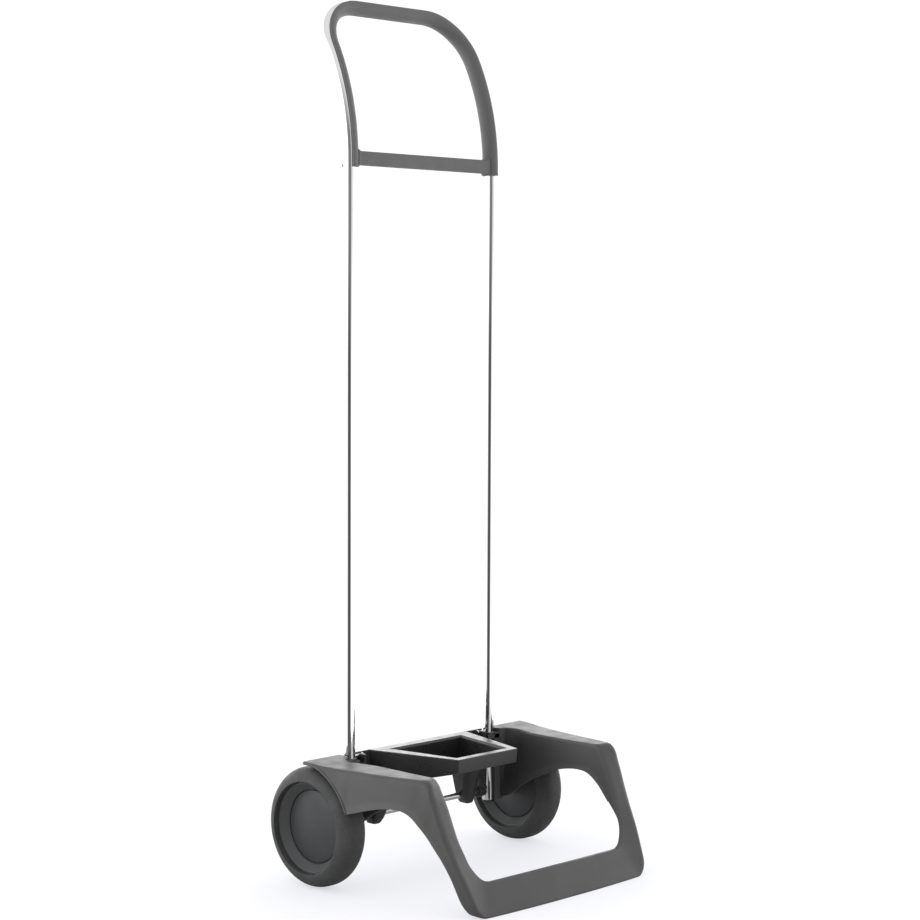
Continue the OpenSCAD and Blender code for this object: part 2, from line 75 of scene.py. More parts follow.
class Shader:
    """A new Principled material, with short calls for the nodes that feed it."""

    def __init__(self, name, metallic=0.0, specular=0.5):
        self.material = bpy.data.materials.new(name)
        self.material.use_nodes = True
        self.nodes = self.material.node_tree.nodes
        self.links = self.material.node_tree.links
        self.bsdf = self.nodes["Principled BSDF"]
        self.bsdf.inputs["Metallic"].default_value = metallic
        self.bsdf.inputs["Specular IOR Level"].default_value = specular
        self.place = self.nodes.new("ShaderNodeTexCoord").outputs["Object"]

    def stretched(self, scale):
        mapping = self.nodes.new("ShaderNodeMapping")
        mapping.inputs["Scale"].default_value = scale
        self.links.new(self.place, mapping.inputs["Vector"])
        return mapping.outputs["Vector"]

    def noise(self, scale, detail=2.0, place=None):
        node = self.nodes.new("ShaderNodeTexNoise")
        node.inputs["Scale"].default_value = scale
        node.inputs["Detail"].default_value = detail
        self.links.new(place or self.place, node.inputs["Vector"])
        return node.outputs["Fac"]

    def cells(self, scale):
        node = self.nodes.new("ShaderNodeTexVoronoi")
        node.inputs["Scale"].default_value = scale
        self.links.new(self.place, node.inputs["Vector"])
        return node.outputs["Distance"]

    def spread(self, value, low, high, start=0.3, end=0.7):
        node = self.nodes.new("ShaderNodeMapRange")
        node.inputs["From Min"].default_value = start
        node.inputs["From Max"].default_value = end
        node.inputs["To Min"].default_value = low
        node.inputs["To Max"].default_value = high
        self.links.new(value, node.inputs["Value"])
        return node.outputs["Result"]

    def mix(self, factor, first, second):
        node = self.nodes.new("ShaderNodeMix")
        node.data_type = "RGBA"
        self.links.new(factor, node.inputs["Factor"])
        for socket, value in ((node.inputs[6], first), (node.inputs[7], second)):
            if isinstance(value, tuple):
                socket.default_value = (*value, 1.0)
            else:
                self.links.new(value, socket)
        return node.outputs[2]

    def edges(self, start=0.52, end=0.6):
        """1 on convex edges and corners, 0 elsewhere."""
        pointiness = self.nodes.new("ShaderNodeNewGeometry").outputs["Pointiness"]
        return self.spread(pointiness, 0.0, 1.0, start, end)

    def bump(self, *layers):
        """Each layer is (height, depth in metres)."""
        normal = None
        for height, depth in layers:
            node = self.nodes.new("ShaderNodeBump")
            node.inputs["Distance"].default_value = depth
            node.inputs["Strength"].default_value = 1.0
            self.links.new(height, node.inputs["Height"])
            if normal:
                self.links.new(normal, node.inputs["Normal"])
            normal = node.outputs["Normal"]
        self.links.new(normal, self.bsdf.inputs["Normal"])

    def colour(self, value):
        self.links.new(value, self.bsdf.inputs["Base Color"])

    def roughness(self, value):
        self.links.new(value, self.bsdf.inputs["Roughness"])


def tint(colour, share):
    return tuple(min(1.0, channel * share) for channel in colour)


def moulded(name, colour, rough=(0.48, 0.62), grain=1500, depth=0.00005, edge_wear_and_highlight=1.25, specular=0.5):
    """Textured moulded plastic: fine spark-eroded grain, cloudy tone, and paler edges: rubbed wear, and
    with a large edge factor a painted highlight.
    """
    s = Shader(name, specular=specular)
    cloudy = s.mix(s.spread(s.noise(22, 3), 0.0, 1.0), tint(colour, 0.93), tint(colour, 1.06))
    speckled = s.mix(s.spread(s.noise(420, 2), 0.0, 0.35), cloudy, tint(colour, 1.12))
    # Convex edges painted paler: rubbed wear, and a painted highlight where the factor is large, as on the
    # shelf
    s.colour(s.mix(s.edges(), speckled, tint(colour, edge_wear_and_highlight)))
    s.roughness(s.spread(s.noise(60, 4), *rough))
    s.bump((s.noise(grain, 2), depth), (s.cells(grain * 0.6), depth * 0.5))
    return s.material


INWARD_SHADE = 0.36


def shade_inner_faces(material):
    """Multiply the colour of inward faces beside the axle: a painted-in shade, not a second plastic."""
    nodes, links = material.node_tree.nodes, material.node_tree.links
    colour_in = nodes["Principled BSDF"].inputs["Base Color"]
    colour = colour_in.links[0].from_socket

    def maths(operation, *values):
        node = nodes.new("ShaderNodeMath")
        node.operation = operation
        for socket, value in zip(node.inputs, values):
            links.new(value, socket)
        return node.outputs[0]

    def ease(value, start, end):
        node = nodes.new("ShaderNodeMapRange")
        node.interpolation_type = "SMOOTHSTEP"
        node.inputs["From Min"].default_value = start
        node.inputs["From Max"].default_value = end
        links.new(value, node.inputs["Value"])
        return node.outputs["Result"]

    geometry = nodes.new("ShaderNodeNewGeometry")
    facing, at = nodes.new("ShaderNodeSeparateXYZ"), nodes.new("ShaderNodeSeparateXYZ")
    links.new(geometry.outputs["Normal"], facing.inputs[0])
    links.new(geometry.outputs["Position"], at.inputs[0])
    outward = maths("MULTIPLY", maths("SIGN", at.outputs["X"]), facing.outputs["X"])
    shade = nodes.new("ShaderNodeMix")
    shade.data_type, shade.blend_type = "RGBA", "MULTIPLY"
    shade.inputs[7].default_value = (INWARD_SHADE, INWARD_SHADE, INWARD_SHADE, 1)
    amount = maths("MULTIPLY", ease(outward, -0.35, -0.8), ease(at.outputs["Y"], -0.07, 0.05))
    links.new(amount, shade.inputs["Factor"])
    links.new(colour, shade.inputs[6])
    links.new(shade.outputs[2], colour_in)


def rubber(name, colour):
    """Soft dark rubber, smooth, with a dusty bloom and faint scuffs."""
    s = Shader(name, specular=0.4)
    bloom = s.mix(s.spread(s.noise(35, 4), 0.0, 1.0), tint(colour, 0.85), tint(colour, 1.18))
    scuffed = s.mix(s.spread(s.noise(260, 5), 0.0, 0.5, 0.52, 0.75), bloom, tint(colour, 1.5))
    s.colour(scuffed)
    s.roughness(s.spread(s.noise(90, 3), 0.5, 0.68))
    s.bump((s.noise(900, 3), 0.00004), (s.noise(70, 2), 0.00008))
    return s.material


def polished(name, colour, rough, lines, depth):
    """Plated steel with fine polishing lines across the tube and a slight haze."""
    s = Shader(name, metallic=1.0)
    hazy = s.mix(s.spread(s.noise(30, 4), 0.0, 1.0), tint(colour, 0.97), tint(colour, 1.02))
    s.colour(hazy)
    fine = s.noise(lines, 3, s.stretched((0.12, 0.12, 1.0)))
    s.roughness(s.spread(fine, *rough))
    s.bump((fine, depth))
    return s.material


def turned(name, colour, rough):
    """Zinc-plated steel with lathe marks round the X axis and dull spots."""
    s = Shader(name, metallic=1.0)
    s.colour(s.mix(s.spread(s.noise(180, 4), 0.0, 1.0), tint(colour, 0.86), tint(colour, 1.05)))
    marks = s.noise(2600, 2, s.stretched((1.0, 0.05, 0.05)))
    s.roughness(s.spread(marks, *rough))
    s.bump((marks, 0.000015))
    return s.material


GRIP = moulded("grip_moulding", (0.120, 0.120, 0.119), rough=(0.50, 0.64), grain=1900)
CHASSIS = moulded("chassis_moulding", (0.078, 0.078, 0.0765), rough=(0.40, 0.52), grain=1500)
shade_inner_faces(CHASSIS)
# The shelf's large edge factor paints a highlight along its edges and the pocket's mouth
SHELF = moulded("shelf_moulding", (0.022, 0.022, 0.0215), rough=(0.24, 0.36), grain=1700, edge_wear_and_highlight=4.5)
RIM = moulded("rim_moulding", (0.074, 0.076, 0.078), rough=(0.42, 0.55), grain=1300)
DISC = moulded("disc_moulding", (0.043, 0.045, 0.048), rough=(0.42, 0.55), grain=1300)
BLACK = moulded("black_moulding", (0.022, 0.022, 0.022), rough=(0.4, 0.55), grain=1600)
NYLON = moulded("natural_nylon", (0.70, 0.68, 0.62), rough=(0.35, 0.5), grain=1200, edge_wear_and_highlight=1.05)
TYRE = rubber("tyre_rubber", (0.062, 0.064, 0.062))
CHROME = polished("chrome_plate", (0.86, 0.86, 0.87), (0.03, 0.09), 700, 0.000004)
STEEL = turned("zinc_plate", (0.72, 0.72, 0.73), (0.16, 0.34))


# Mesh building -------------------------------------------------------------------------------

def placed(point):
    """A point in millimetres from the axle's Y, in the row frame's metres."""
    return Vector((point[0], point[1] + AXLE_Y, point[2])) * MM


def piece(name, verts, faces, material, body, replaces=()):
    """Makes a mesh piece from points in metres and lets it ride on a body."""
    mesh = bpy.data.meshes.new(name)
    mesh.from_pydata([tuple(v) for v in verts], [], faces)
    work = bmesh.new()
    work.from_mesh(mesh)
    bmesh.ops.remove_doubles(work, verts=work.verts, dist=1e-6)
    bmesh.ops.recalc_face_normals(work, faces=work.faces)
    for face in work.faces:
        face.smooth = True
    work.to_mesh(mesh)
    work.free()
    mesh.materials.append(material)
    obj = bpy.data.objects.new(name, mesh)
    bpy.context.scene.collection.objects.link(obj)
    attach(obj, body)
    if replaces:
        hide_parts(*replaces)
    return obj


def round_edges(obj, width, angle=40, segments=3):
    """Rounds the edges that turn by more than the given angle, and evens the shading."""
    bevel = obj.modifiers.new("round_edges", "BEVEL")
    bevel.width = width * MM
    bevel.segments = segments
    bevel.limit_method = "ANGLE"
    bevel.angle_limit = math.radians(angle)
    bevel.harden_normals = False
    even = obj.modifiers.new("even_normals", "WEIGHTED_NORMAL")
    even.keep_sharp = True


def strip_faces(rows, columns, closed_rows=False, closed_columns=True):
    """Quads of a grid of points, stored row by row."""
    faces = []
    for i in range(rows if closed_rows else rows - 1):
        for j in range(columns if closed_columns else columns - 1):
            a, b = i * columns + j, i * columns + (j + 1) % columns
            k = ((i + 1) % rows) * columns
            faces.append((a, b, k + (j + 1) % columns, k + j))
    return faces


def end_caps(total, count):
    """Faces over the first and the last row of a grid of points with count columns."""
    return [tuple(range(count)), tuple(reversed(range(total - count, total)))]


def swept(frames, section):
    """Points and faces of a closed section carried along frames of (point, inward, sideways)."""
    verts = [p + a * n + b * s for p, n, s in frames for a, b in section]
    return verts, strip_faces(len(frames), len(section)) + end_caps(len(verts), len(section))


def circle(radius, steps=48):
    angles = [math.tau * i / steps for i in range(steps)]
    return [(radius * math.cos(t), radius * math.sin(t)) for t in angles]


def corner_arc(a, b, c, radius, steps):
    """Points of the arc that rounds corner b between a and c, in two or three dimensions."""
    u, v = a - b, c - b
    reach = 0.48 * min(u.length, v.length)
    u, v = u.normalized(), v.normalized()
    half = u.angle(v, math.pi) / 2
    if half > math.radians(88):
        # The corner is almost straight, so a short stretch along both sides stands in for the arc
        return [b + (u * (1 - i / steps) + v * (i / steps)) * 0.2 for i in range(steps + 1)]
    radius = min(radius, reach * math.tan(half))
    centre = b + (u + v).normalized() * radius / math.sin(half)
    p, q = b + u * radius / math.tan(half) - centre, b + v * radius / math.tan(half) - centre
    return [centre + p.slerp(q, i / steps).normalized() * radius for i in range(steps + 1)]


def rounded(outline, steps=6):
    """A closed flat outline whose points are (x, y, corner radius)."""
    points = []
    for i, (x, y, radius) in enumerate(outline):
        a, b = Vector(outline[i - 1][:2]), Vector((x, y))
        c = Vector(outline[(i + 1) % len(outline)][:2])
        if radius:
            points += [tuple(p) for p in flat_arc(a, b, c, radius, steps)]
        else:
            points.append((x, y))
    return points


def flat_arc(a, b, c, radius, steps):
    """The same arc for points that lie in a plane."""
    arc = corner_arc(a.to_3d(), b.to_3d(), c.to_3d(), radius, steps)
    return [p.to_2d() for p in arc]


def prism(outline, low, high, to_place):
    """Points and faces of a flat outline pushed from low to high; to_place maps (x, y, height)."""
    verts = [to_place(x, y, h) for h in (low, high) for x, y in outline]
    count = len(outline)
    faces = strip_faces(2, count)
    faces += [tuple(reversed(range(count))), tuple(range(count, 2 * count))]
    return verts, faces


def joined(*parts):
    """Several (points, faces) as one."""
    verts, faces = [], []
    for more_verts, more_faces in parts:
        faces += [tuple(i + len(verts) for i in face) for face in more_faces]
        verts += more_verts
    return verts, faces


def mirrored(part):
    """The part's twin on the other side of the middle plane."""
    verts, faces = part
    return [Vector((-v.x, v.y, v.z)) for v in verts], [tuple(reversed(face)) for face in faces]


# Tube and grip ---------------------------------------------------------------------------------

def loop_frames(foot, bend_steps=24, corner_steps=32, straight_steps=2):
    """Frames along the whole loop from the left foot to the right one, starting at height foot."""
    inward = Vector((1, 0, 0))
    half = []
    for i in range(straight_steps):
        z = foot + (BEND_Z - foot) * i / straight_steps
        half.append((Vector((-TUBE_X, 0, z)), inward, Vector((0, 1, 0))))
    for i in range(bend_steps):
        t = BEND_ANGLE * i / bend_steps
        at = Vector((-TUBE_X, BEND_R * (1 - math.cos(t)), BEND_Z + BEND_R * math.sin(t)))
        half.append((at, inward, Vector((0, math.cos(t), -math.sin(t)))))
    up = Vector((0, math.sin(BEND_ANGLE), math.cos(BEND_ANGLE)))
    side = Vector((0, math.cos(BEND_ANGLE), -math.sin(BEND_ANGLE)))
    start = Vector((-TUBE_X, BEND_R * (1 - math.cos(BEND_ANGLE)), BEND_Z + BEND_R * math.sin(BEND_ANGLE)))
    for i in range(corner_steps + 1):
        t = math.pi / 2 * i / corner_steps
        n = inward * math.cos(t) - up * math.sin(t)
        half.append((start + inward * CORNER_R - n * CORNER_R, n, side))
    flip = Matrix.Diagonal((-1, 1, 1))
    other = [(flip @ p, flip @ n, s) for p, n, s in reversed(half)]
    return [(placed(p), n * MM, s * MM) for p, n, s in half + other]


GRIP_WALL = 3.2
GRIP_FIT = 0.05
# How far the grip wraps round the tube to the front and to the back
GRIP_WRAP = (math.radians(102), math.radians(86))


def grip_lip(wrap, side):
    """The rounded lip where the grip ends, from its outer face to its inner one."""
    radial = Vector((math.cos(wrap), side * math.sin(wrap)))
    along = Vector((-math.sin(wrap), side * math.cos(wrap)))
    half = (GRIP_WALL - GRIP_FIT) / 2
    middle = radial * (TUBE_R + GRIP_FIT + half)
    angles = [math.pi * i / 6 for i in range(1, 6)]
    return [tuple(middle + radial * half * math.cos(a) + along * half * 0.5 * math.sin(a))
            for a in angles]


def grip_outline():
    """The open ring of the grip round the tube, thick at the loop's inside, with rounded lips."""
    low, high = GRIP_WRAP
    angles = [-low + (low + high) * i / 40 for i in range(41)]
    outer_r, inner_r = TUBE_R + GRIP_WALL, TUBE_R + GRIP_FIT
    outer = [(outer_r * math.cos(t), outer_r * math.sin(t)) for t in angles]
    inner = [(inner_r * math.cos(t), inner_r * math.sin(t)) for t in reversed(angles)]
    return outer + grip_lip(high, 1) + inner + list(reversed(grip_lip(low, -1)))


def make_tube():
    verts, faces = swept(loop_frames(TUBE_FOOT, straight_steps=12), circle(TUBE_R))
    tube = piece("tube_loop", verts, faces, CHROME, "frame", ["tube_frame"])
    round_edges(tube, 0.5, 60)


CROSSBAR_H = 16.0
CROSSBAR_T = 13.0
CROSSBAR_Z = BEND_Z + 3.0
GRIP_TAIL = 2.5
GRIP_FOOT = CROSSBAR_Z - CROSSBAR_H / 2 - GRIP_TAIL


def crossbar():
    """The bar between the grip's legs: its section swells into each leg through a small fillet."""
    half_h, half_t, edge = CROSSBAR_H / 2, CROSSBAR_T / 2, 1.8
    section = [Vector(p) for p in rounded([(-half_t, -half_h, edge), (half_t, -half_h, edge),
                                           (half_t, half_h, edge), (-half_t, half_h, edge)])]
    fillet, reach = 2.6, TUBE_X - TUBE_R - 1.5
    stops = [(reach, fillet)]
    for i in range(1, 6):
        t = math.pi / 2 * i / 5
        stops.append((reach - fillet * math.sin(t) * 1.6, fillet * (1 - math.sin(t))))
    stops += [(-x, grow) for x, grow in reversed(stops)]
    verts = []
    for x, grow in stops:
        scale_y, scale_z = 1 + grow * 0.15 / half_t, 1 + grow / half_h
        verts += [placed((x, p.x * scale_y, CROSSBAR_Z + p.y * scale_z)) for p in section]
    return verts, strip_faces(len(stops), len(section)) + end_caps(len(verts), len(section))


def grip_tail(side):
    """The lip round the foot of a grip leg."""
    outer, inner = TUBE_R + 4.1, TUBE_R + 3.0
    section = [(inner, 0.0), (outer - 0.4, 0.0), (outer, 0.5),
               (outer, 2.4), (outer - 0.4, 2.9), (inner, 3.4)]
    steps, wrap = 36, math.radians(100)
    verts = []
    for i in range(steps + 1):
        t = -wrap + 2 * wrap * i / steps
        verts += [placed((side * (TUBE_X - r * math.cos(t)), r * math.sin(t), GRIP_FOOT + h))
                  for r, h in section]
    return verts, strip_faces(steps + 1, len(section)) + end_caps(len(verts), len(section))


def make_grip():
    shell = swept(loop_frames(GRIP_FOOT, bend_steps=32, corner_steps=40), grip_outline())
    verts, faces = joined(shell, crossbar(), grip_tail(1), grip_tail(-1))
    grip = piece("grip_moulding", verts, faces, GRIP, "frame", ["handle_grip"])
    round_edges(grip, 0.35, 50, 2)


# Chassis: four rails run from the arm's rear tip down the leg to the middle of the foot bar -------
# Each station gives (x, y, z) of the outer wall's free edge, the outer crease, the inner crease and
# the inner wall's free edge, then the rounding radius of the two creases.

STATIONS = [
    ((183.6, 6.5, 144.7), (183.6, 6.5, 147.0), (126.0, 6.5, 147.0), (131.0, 6.5, 60), 1.5, 1.5),
    ((184.0, -7, 144.2), (183.4, -7, 146.5), (126.0, -7, 146.8), (131.2, -7, 60), 2, 1.5),
    ((184.3, -14, 143.3), (183.0, -14, 146.0), (136.0, -14, 146.6), (131.3, -14, 61.5), 2, 2.5),
    ((185.0, -28, 138.5), (181.0, -28, 145.2), (142.0, -28, 146.2), (131.5, -28, 68), 3, 3),
    ((185.2, -45, 127.5), (179.0, -45, 145.0), (139.0, -45, 146.0), (131.8, -45, 81), 4, 3),
    ((184.8, -57, 114.5), (177.6, -57, 145.0), (136.0, -57, 146.0), (132.0, -57, 88), 5, 3),
    ((183.6, -66, 96.5), (176.4, -66, 145.0), (135.0, -66, 146.0), (132.0, -66, 93), 5, 3),
    ((180.6, -80, 100.5), (174.6, -80, 145.0), (134.5, -80, 146.0), (132.0, -80, 99), 6, 3),
    ((176.6, -104, 107.2), (171.2, -104, 145.2), (134.8, -104, 146.0), (132.0, -104, 109), 6, 3),
    ((172.6, -123, 110.2), (168.0, -123, 145.6), (135.4, -123, 146.0), (132.0, -123, 113), 6, 3),
    ((169.6, -137, 110.4), (165.0, -140, 146.2), (135.6, -139, 146.2), (132.0, -136, 114), 6, 3.5),
    ((167.0, -147, 107.6), (161.6, -158, 146.6), (135.6, -153, 146.2), (132.0, -150, 112.5), 6, 4),
    ((165.2, -153, 103.8), (159.0, -170, 146.4), (135.6, -162, 146.0), (132.0, -160, 107.5), 7, 5),
    ((163.8, -158.5, 99), (158.8, -176, 142.0), (135.4, -167.5, 141.5), (132.0, -166, 103), 8, 6),
    ((162.4, -163.5, 94), (159.4, -179, 133.0), (134.8, -172.5, 133.5), (132.0, -171, 98.5), 8, 7),
    ((159.6, -172, 84.5), (159.2, -185, 118.0), (134.0, -180.5, 119.5), (132.0, -178, 90.5), 8, 8),
    ((158.2, -182, 73), (158.4, -192.5, 99.0), (133.6, -189, 100.5), (132.0, -187, 80), 8, 8),
    ((157.0, -192.5, 61.5), (157.0, -202, 79.5), (133.0, -197.5, 80.0), (131.6, -196, 70.0), 8, 7),
    ((155.2, -199.5, 51), (155.6, -211, 62.0), (131.2, -204.0, 66.0), (130.6, -202, 62.5), 7, 4),
    ((153.0, -204.5, 41), (153.8, -218.5, 48.0), (129.0, -208.6, 55.5), (128.6, -206, 54.5), 7, 2),
    ((150.6, -209, 29.5), (151.6, -225.5, 34.5), (125.6, -212.4, 47.8), (125.0, -209.4, 48.0), 6, 2),
    ((148.4, -213.5, 18.5), (149.6, -230.5, 23.5), (121.6, -215.4, 42.0), (121.0, -212.0, 42.3), 6, 2),
    ((145.2, -218, 9.5), (146.6, -235.0, 13.0), (117.4, -217.6, 38.0), (117.0, -214.0, 38.2), 5, 2),
    ((139.4, -221, 3.0), (141.0, -237.5, 4.0), (112.4, -219.4, 35.4), (112.2, -215.6, 35.5), 4, 2),
    ((131.0, -222.5, 0.3), (132.0, -238.6, 0.3), (107.0, -220.6, 34.2), (107.0, -216.6, 34.2), 2, 2),
    ((117.0, -224, 0), (117.0, -239.6, 0), (98.0, -221.2, 34.0), (98.0, -217, 34.0), 1.6, 2),
    ((86.0, -227, 0), (86.0, -241.4, 0), (78.0, -221.8, 34.0), (78.0, -217.4, 34.0), 1.6, 2),
    ((43.0, -229, 0), (43.0, -242.8, 0), (40.0, -222.4, 34.0), (40.0, -218, 34.0), 1.6, 2),
    ((0, -229.5, 0), (0, -243.0, 0), (0, -222.6, 34.0), (0, -218, 34.0), 1.6, 2),
]
ARCH_CORNER = 6
CHASSIS_WALL = 3.0
STEPS_BETWEEN = 6


def smooth_rail(points, sharp=None, steps=STEPS_BETWEEN):
    """A curve through the points; at the sharp one it turns a corner."""
    def slope(i, ahead):
        if i == 0 or (i == sharp and ahead):
            return points[i + 1] - points[i]
        if i == len(points) - 1 or i == sharp:
            return points[i] - points[i - 1]
        before, after = points[i] - points[i - 1], points[i + 1] - points[i]
        share = before.length / max(1e-6, before.length + after.length)
        return before * (1 - share) + after * share

    curve = []
    for i in range(len(points) - 1):
        p, q = points[i], points[i + 1]
        span = (q - p).length
        m = slope(i, True)
        n = slope(i + 1, False)
        m = m * (span / max(m.length, 1e-6)) if m.length else m
        n = n * (span / max(n.length, 1e-6)) if n.length else n
        for k in range(steps):
            t = k / steps
            curve.append(p * (2 * t ** 3 - 3 * t ** 2 + 1) + m * (t ** 3 - 2 * t ** 2 + t)
                         + q * (3 * t ** 2 - 2 * t ** 3) + n * (t ** 3 - t ** 2))
    return curve + [points[-1]]


def chassis_rails():
    """The four rails as dense curves, and the two creases' radii at the same steps."""
    rails = [[Vector(station[k]) for station in STATIONS] for k in range(4)]
    curves = [smooth_rail(rail, ARCH_CORNER if k == 0 else None) for k, rail in enumerate(rails)]
    for point in (p for curve in curves for p in curve):
        point.z = max(point.z, 0.0)
    radii = [[Vector((station[k], 0, 0)) for station in STATIONS] for k in (4, 5)]
    widths = []
    for rail in radii:
        values = []
        for i in range(len(rail) - 1):
            values += [rail[i].lerp(rail[i + 1], k / STEPS_BETWEEN).x for k in range(STEPS_BETWEEN)]
        widths.append(values + [rail[-1].x])
    return curves, widths


def chassis_section(a, b, c, d, outer_r, inner_r):
    """One cross-section of the channel, from the outer free edge to the inner one."""
    first = corner_arc(a, b, c, outer_r, 7)
    second = corner_arc(b, c, d, inner_r, 7)
    line = [a.lerp(first[0], i / 6) for i in range(6)]
    line += first
    line += [first[-1].lerp(second[0], i / 7) for i in range(1, 7)]
    line += second
    line += [second[-1].lerp(d, i / 8) for i in range(1, 9)]
    return line


def chassis_half():
    """The right half of the channel: its cross-sections joined along the rails."""
    curves, widths = chassis_rails()
    sections = [chassis_section(*points, *radii) for points, radii in zip(zip(*curves), zip(*widths))]
    verts = [placed(p) for section in sections for p in section]
    return verts, strip_faces(len(sections), len(sections[0]), closed_columns=False)


def bead(points, radius):
    """A round bead along a line of points in millimetres."""
    frames = []
    for i, p in enumerate(points):
        along = (points[min(i + 1, len(points) - 1)] - points[max(i - 1, 0)]).normalized()
        across = along.cross(Vector((1, 0, 0))).normalized()
        frames.append((placed(p), across * MM, along.cross(across) * MM))
    return swept(frames, circle(radius, 12))


def arch_bead():
    """The bead along the free edge over the wheel."""
    curves, _ = chassis_rails()
    return bead([p + Vector((-0.6, 0, 0)) for p in curves[0][:ARCH_CORNER * STEPS_BETWEEN + 1]], 1.5)


def inner_bead():
    """The bead along the inner wall's free edge."""
    curves, _ = chassis_rails()
    lip = curves[3][2 * STEPS_BETWEEN: 16 * STEPS_BETWEEN]
    return bead([p + Vector((0.9, 0, 0)) for p in lip], 1.3)


ARM_TOP = 147.0
BOSS_LOW = 57.0
BOSS_TOP = 142.0
BOSS_OVERLAP = 3.0
SEAT_DROP = 7.0
SEAT_COLLAR = 1.5
SEAT_RISE = 2.5
SEAT_PLATE = 5.0
CLASP = (108.6, 134.0, -9.0, 6.2)
SEAT_R = TUBE_R + 0.15


def tube_boss():
    """The upright boss between the tube and the inner wall, hollowed to cradle the tube."""
    _, high_x, low_y, high_y = CLASP
    left, right = TUBE_X + BOSS_OVERLAP, high_x + 0.5
    rise = math.acos(BOSS_OVERLAP / SEAT_R)
    cradle = [(TUBE_X + SEAT_R * math.cos(t), SEAT_R * math.sin(t))
              for t in [rise - 2 * rise * i / 12 for i in range(13)]]
    outline = [(left, low_y), (right, low_y), (right, high_y), (left, high_y)] + cradle
    return prism(outline, BOSS_LOW, BOSS_TOP, lambda x, y, h: placed((x, y, h)))


def tube_seat():
    """The plate with a collar that the tube passes through, a little below the arm's top."""
    low_x, high_x, low_y, high_y = CLASP
    steps = 48
    hole, rim, collar = [], [], []
    for i in range(steps):
        t = math.tau * i / steps
        c, s = math.cos(t), math.sin(t)
        reach_x = (high_x - TUBE_X if c > 0 else TUBE_X - low_x) / max(abs(c), 1e-6)
        reach_y = (high_y if s > 0 else -low_y) / max(abs(s), 1e-6)
        reach = min(reach_x, reach_y)
        hole.append((TUBE_X + SEAT_R * c, SEAT_R * s))
        collar.append((TUBE_X + (SEAT_R + SEAT_COLLAR) * c, (SEAT_R + SEAT_COLLAR) * s))
        rim.append((TUBE_X + reach * c, reach * s))
    top, low = ARM_TOP - SEAT_DROP, ARM_TOP - SEAT_DROP - SEAT_PLATE
    rings = [(hole, low), (hole, top + SEAT_RISE), (collar, top + SEAT_RISE), (collar, top),
             (rim, top), (rim, low)]
    verts = [placed((x, y, z)) for ring, z in rings for x, y in ring]
    return verts, strip_faces(len(rings), steps, closed_rows=True)


def bar_ribs():
    """Stiffening ribs inside the foot bar, seen from behind."""
    parts = []
    for x in (0, 30, 60, 90):
        bow = 2.6 * (x / 90) ** 2
        outline = [(-228.0, 2.0), (bow - 237.5, 2.0), (bow - 220.5, 31.5), (-218.5, 31.5)]
        parts.append(prism(outline, x - 1.0, x + 1.0, lambda y, z, h: placed((h, y, z))))
    return joined(*parts)


def make_chassis():
    half = chassis_half()
    verts, faces = joined(half, mirrored(half))
    shell = piece("chassis_shell", verts, faces, CHASSIS, "frame", ["chassis"])
    wall = shell.modifiers.new("wall", "SOLIDIFY")
    wall.thickness = CHASSIS_WALL * MM
    wall.offset = -1
    wall.use_even_offset = False
    round_edges(shell, 0.7, 45)
    beads = joined(arch_bead(), inner_bead())
    verts, faces = joined(beads, mirrored(beads))
    piece("chassis_beads", verts, faces, CHASSIS, "frame")
    seats = joined(tube_boss(), tube_seat(), bar_ribs())
    verts, faces = joined(seats, mirrored(seats))
    seat = piece("chassis_tube_seats", verts, faces, CHASSIS, "frame")
    round_edges(seat, 0.8, 40)


# Bag shelf ---------------------------------------------------------------------------------------

SHELF_TOP = ARM_TOP
SHELF_BACK = 6.0
SHELF_FRONT = -114.0
SHELF_BACK_X = 83.0
SHELF_FRONT_X = 50.0
SHELF_SKIRT = 16.5
SHELF_BACK_H = 46.0
MOUTH_BACK = (58.0, -11.0)
MOUTH_FRONT = (41.0, -101.0)
RIM_STEP = 1.2


def shelf_underside(y):
    """Height of the shelf's underside at a distance from the axle."""
    share = min(1.0, (y - SHELF_FRONT) / (MOUTH_BACK[1] - SHELF_FRONT))
    return SHELF_TOP - SHELF_SKIRT - (SHELF_BACK_H - SHELF_SKIRT) * share


def shelf_tray():
    """The tray: rings of four corners from the underside, up the outside and down into the pocket."""
    def ring(back_x, back_y, front_x, front_y, back_z, front_z):
        return [(back_x, back_y, back_z), (front_x, front_y, front_z),
                (-front_x, front_y, front_z), (-back_x, back_y, back_z)]

    low_back, low_front = shelf_underside(SHELF_BACK), shelf_underside(SHELF_FRONT)
    (mbx, mby), (mfx, mfy) = MOUTH_BACK, MOUTH_FRONT
    rings = [
        ring(SHELF_BACK_X - 2, SHELF_BACK, SHELF_FRONT_X - 1, SHELF_FRONT + 1, low_back, low_front),
        ring(SHELF_BACK_X, SHELF_BACK, SHELF_FRONT_X, SHELF_FRONT, SHELF_TOP, SHELF_TOP),
        ring(mbx + 2.2, mby + 2.2, mfx + 1.8, mfy - 2.2, SHELF_TOP, SHELF_TOP),
        ring(mbx + 1.0, mby + 1.0, mfx + 0.8, mfy - 1.0, SHELF_TOP - RIM_STEP, SHELF_TOP - RIM_STEP),
        ring(mbx, mby, mfx, mfy, SHELF_TOP - RIM_STEP - 0.6, SHELF_TOP - RIM_STEP - 0.6),
        ring(mbx - 2.5, mby - 1.5, mfx - 1.5, mfy + 1.5, low_back + 3, low_front + 3),
    ]
    verts = [placed(p) for r in rings for p in r]
    faces = strip_faces(len(rings), 4)
    faces += [(0, 1, 2, 3), tuple(reversed(range(len(verts) - 4, len(verts))))]
    return verts, faces


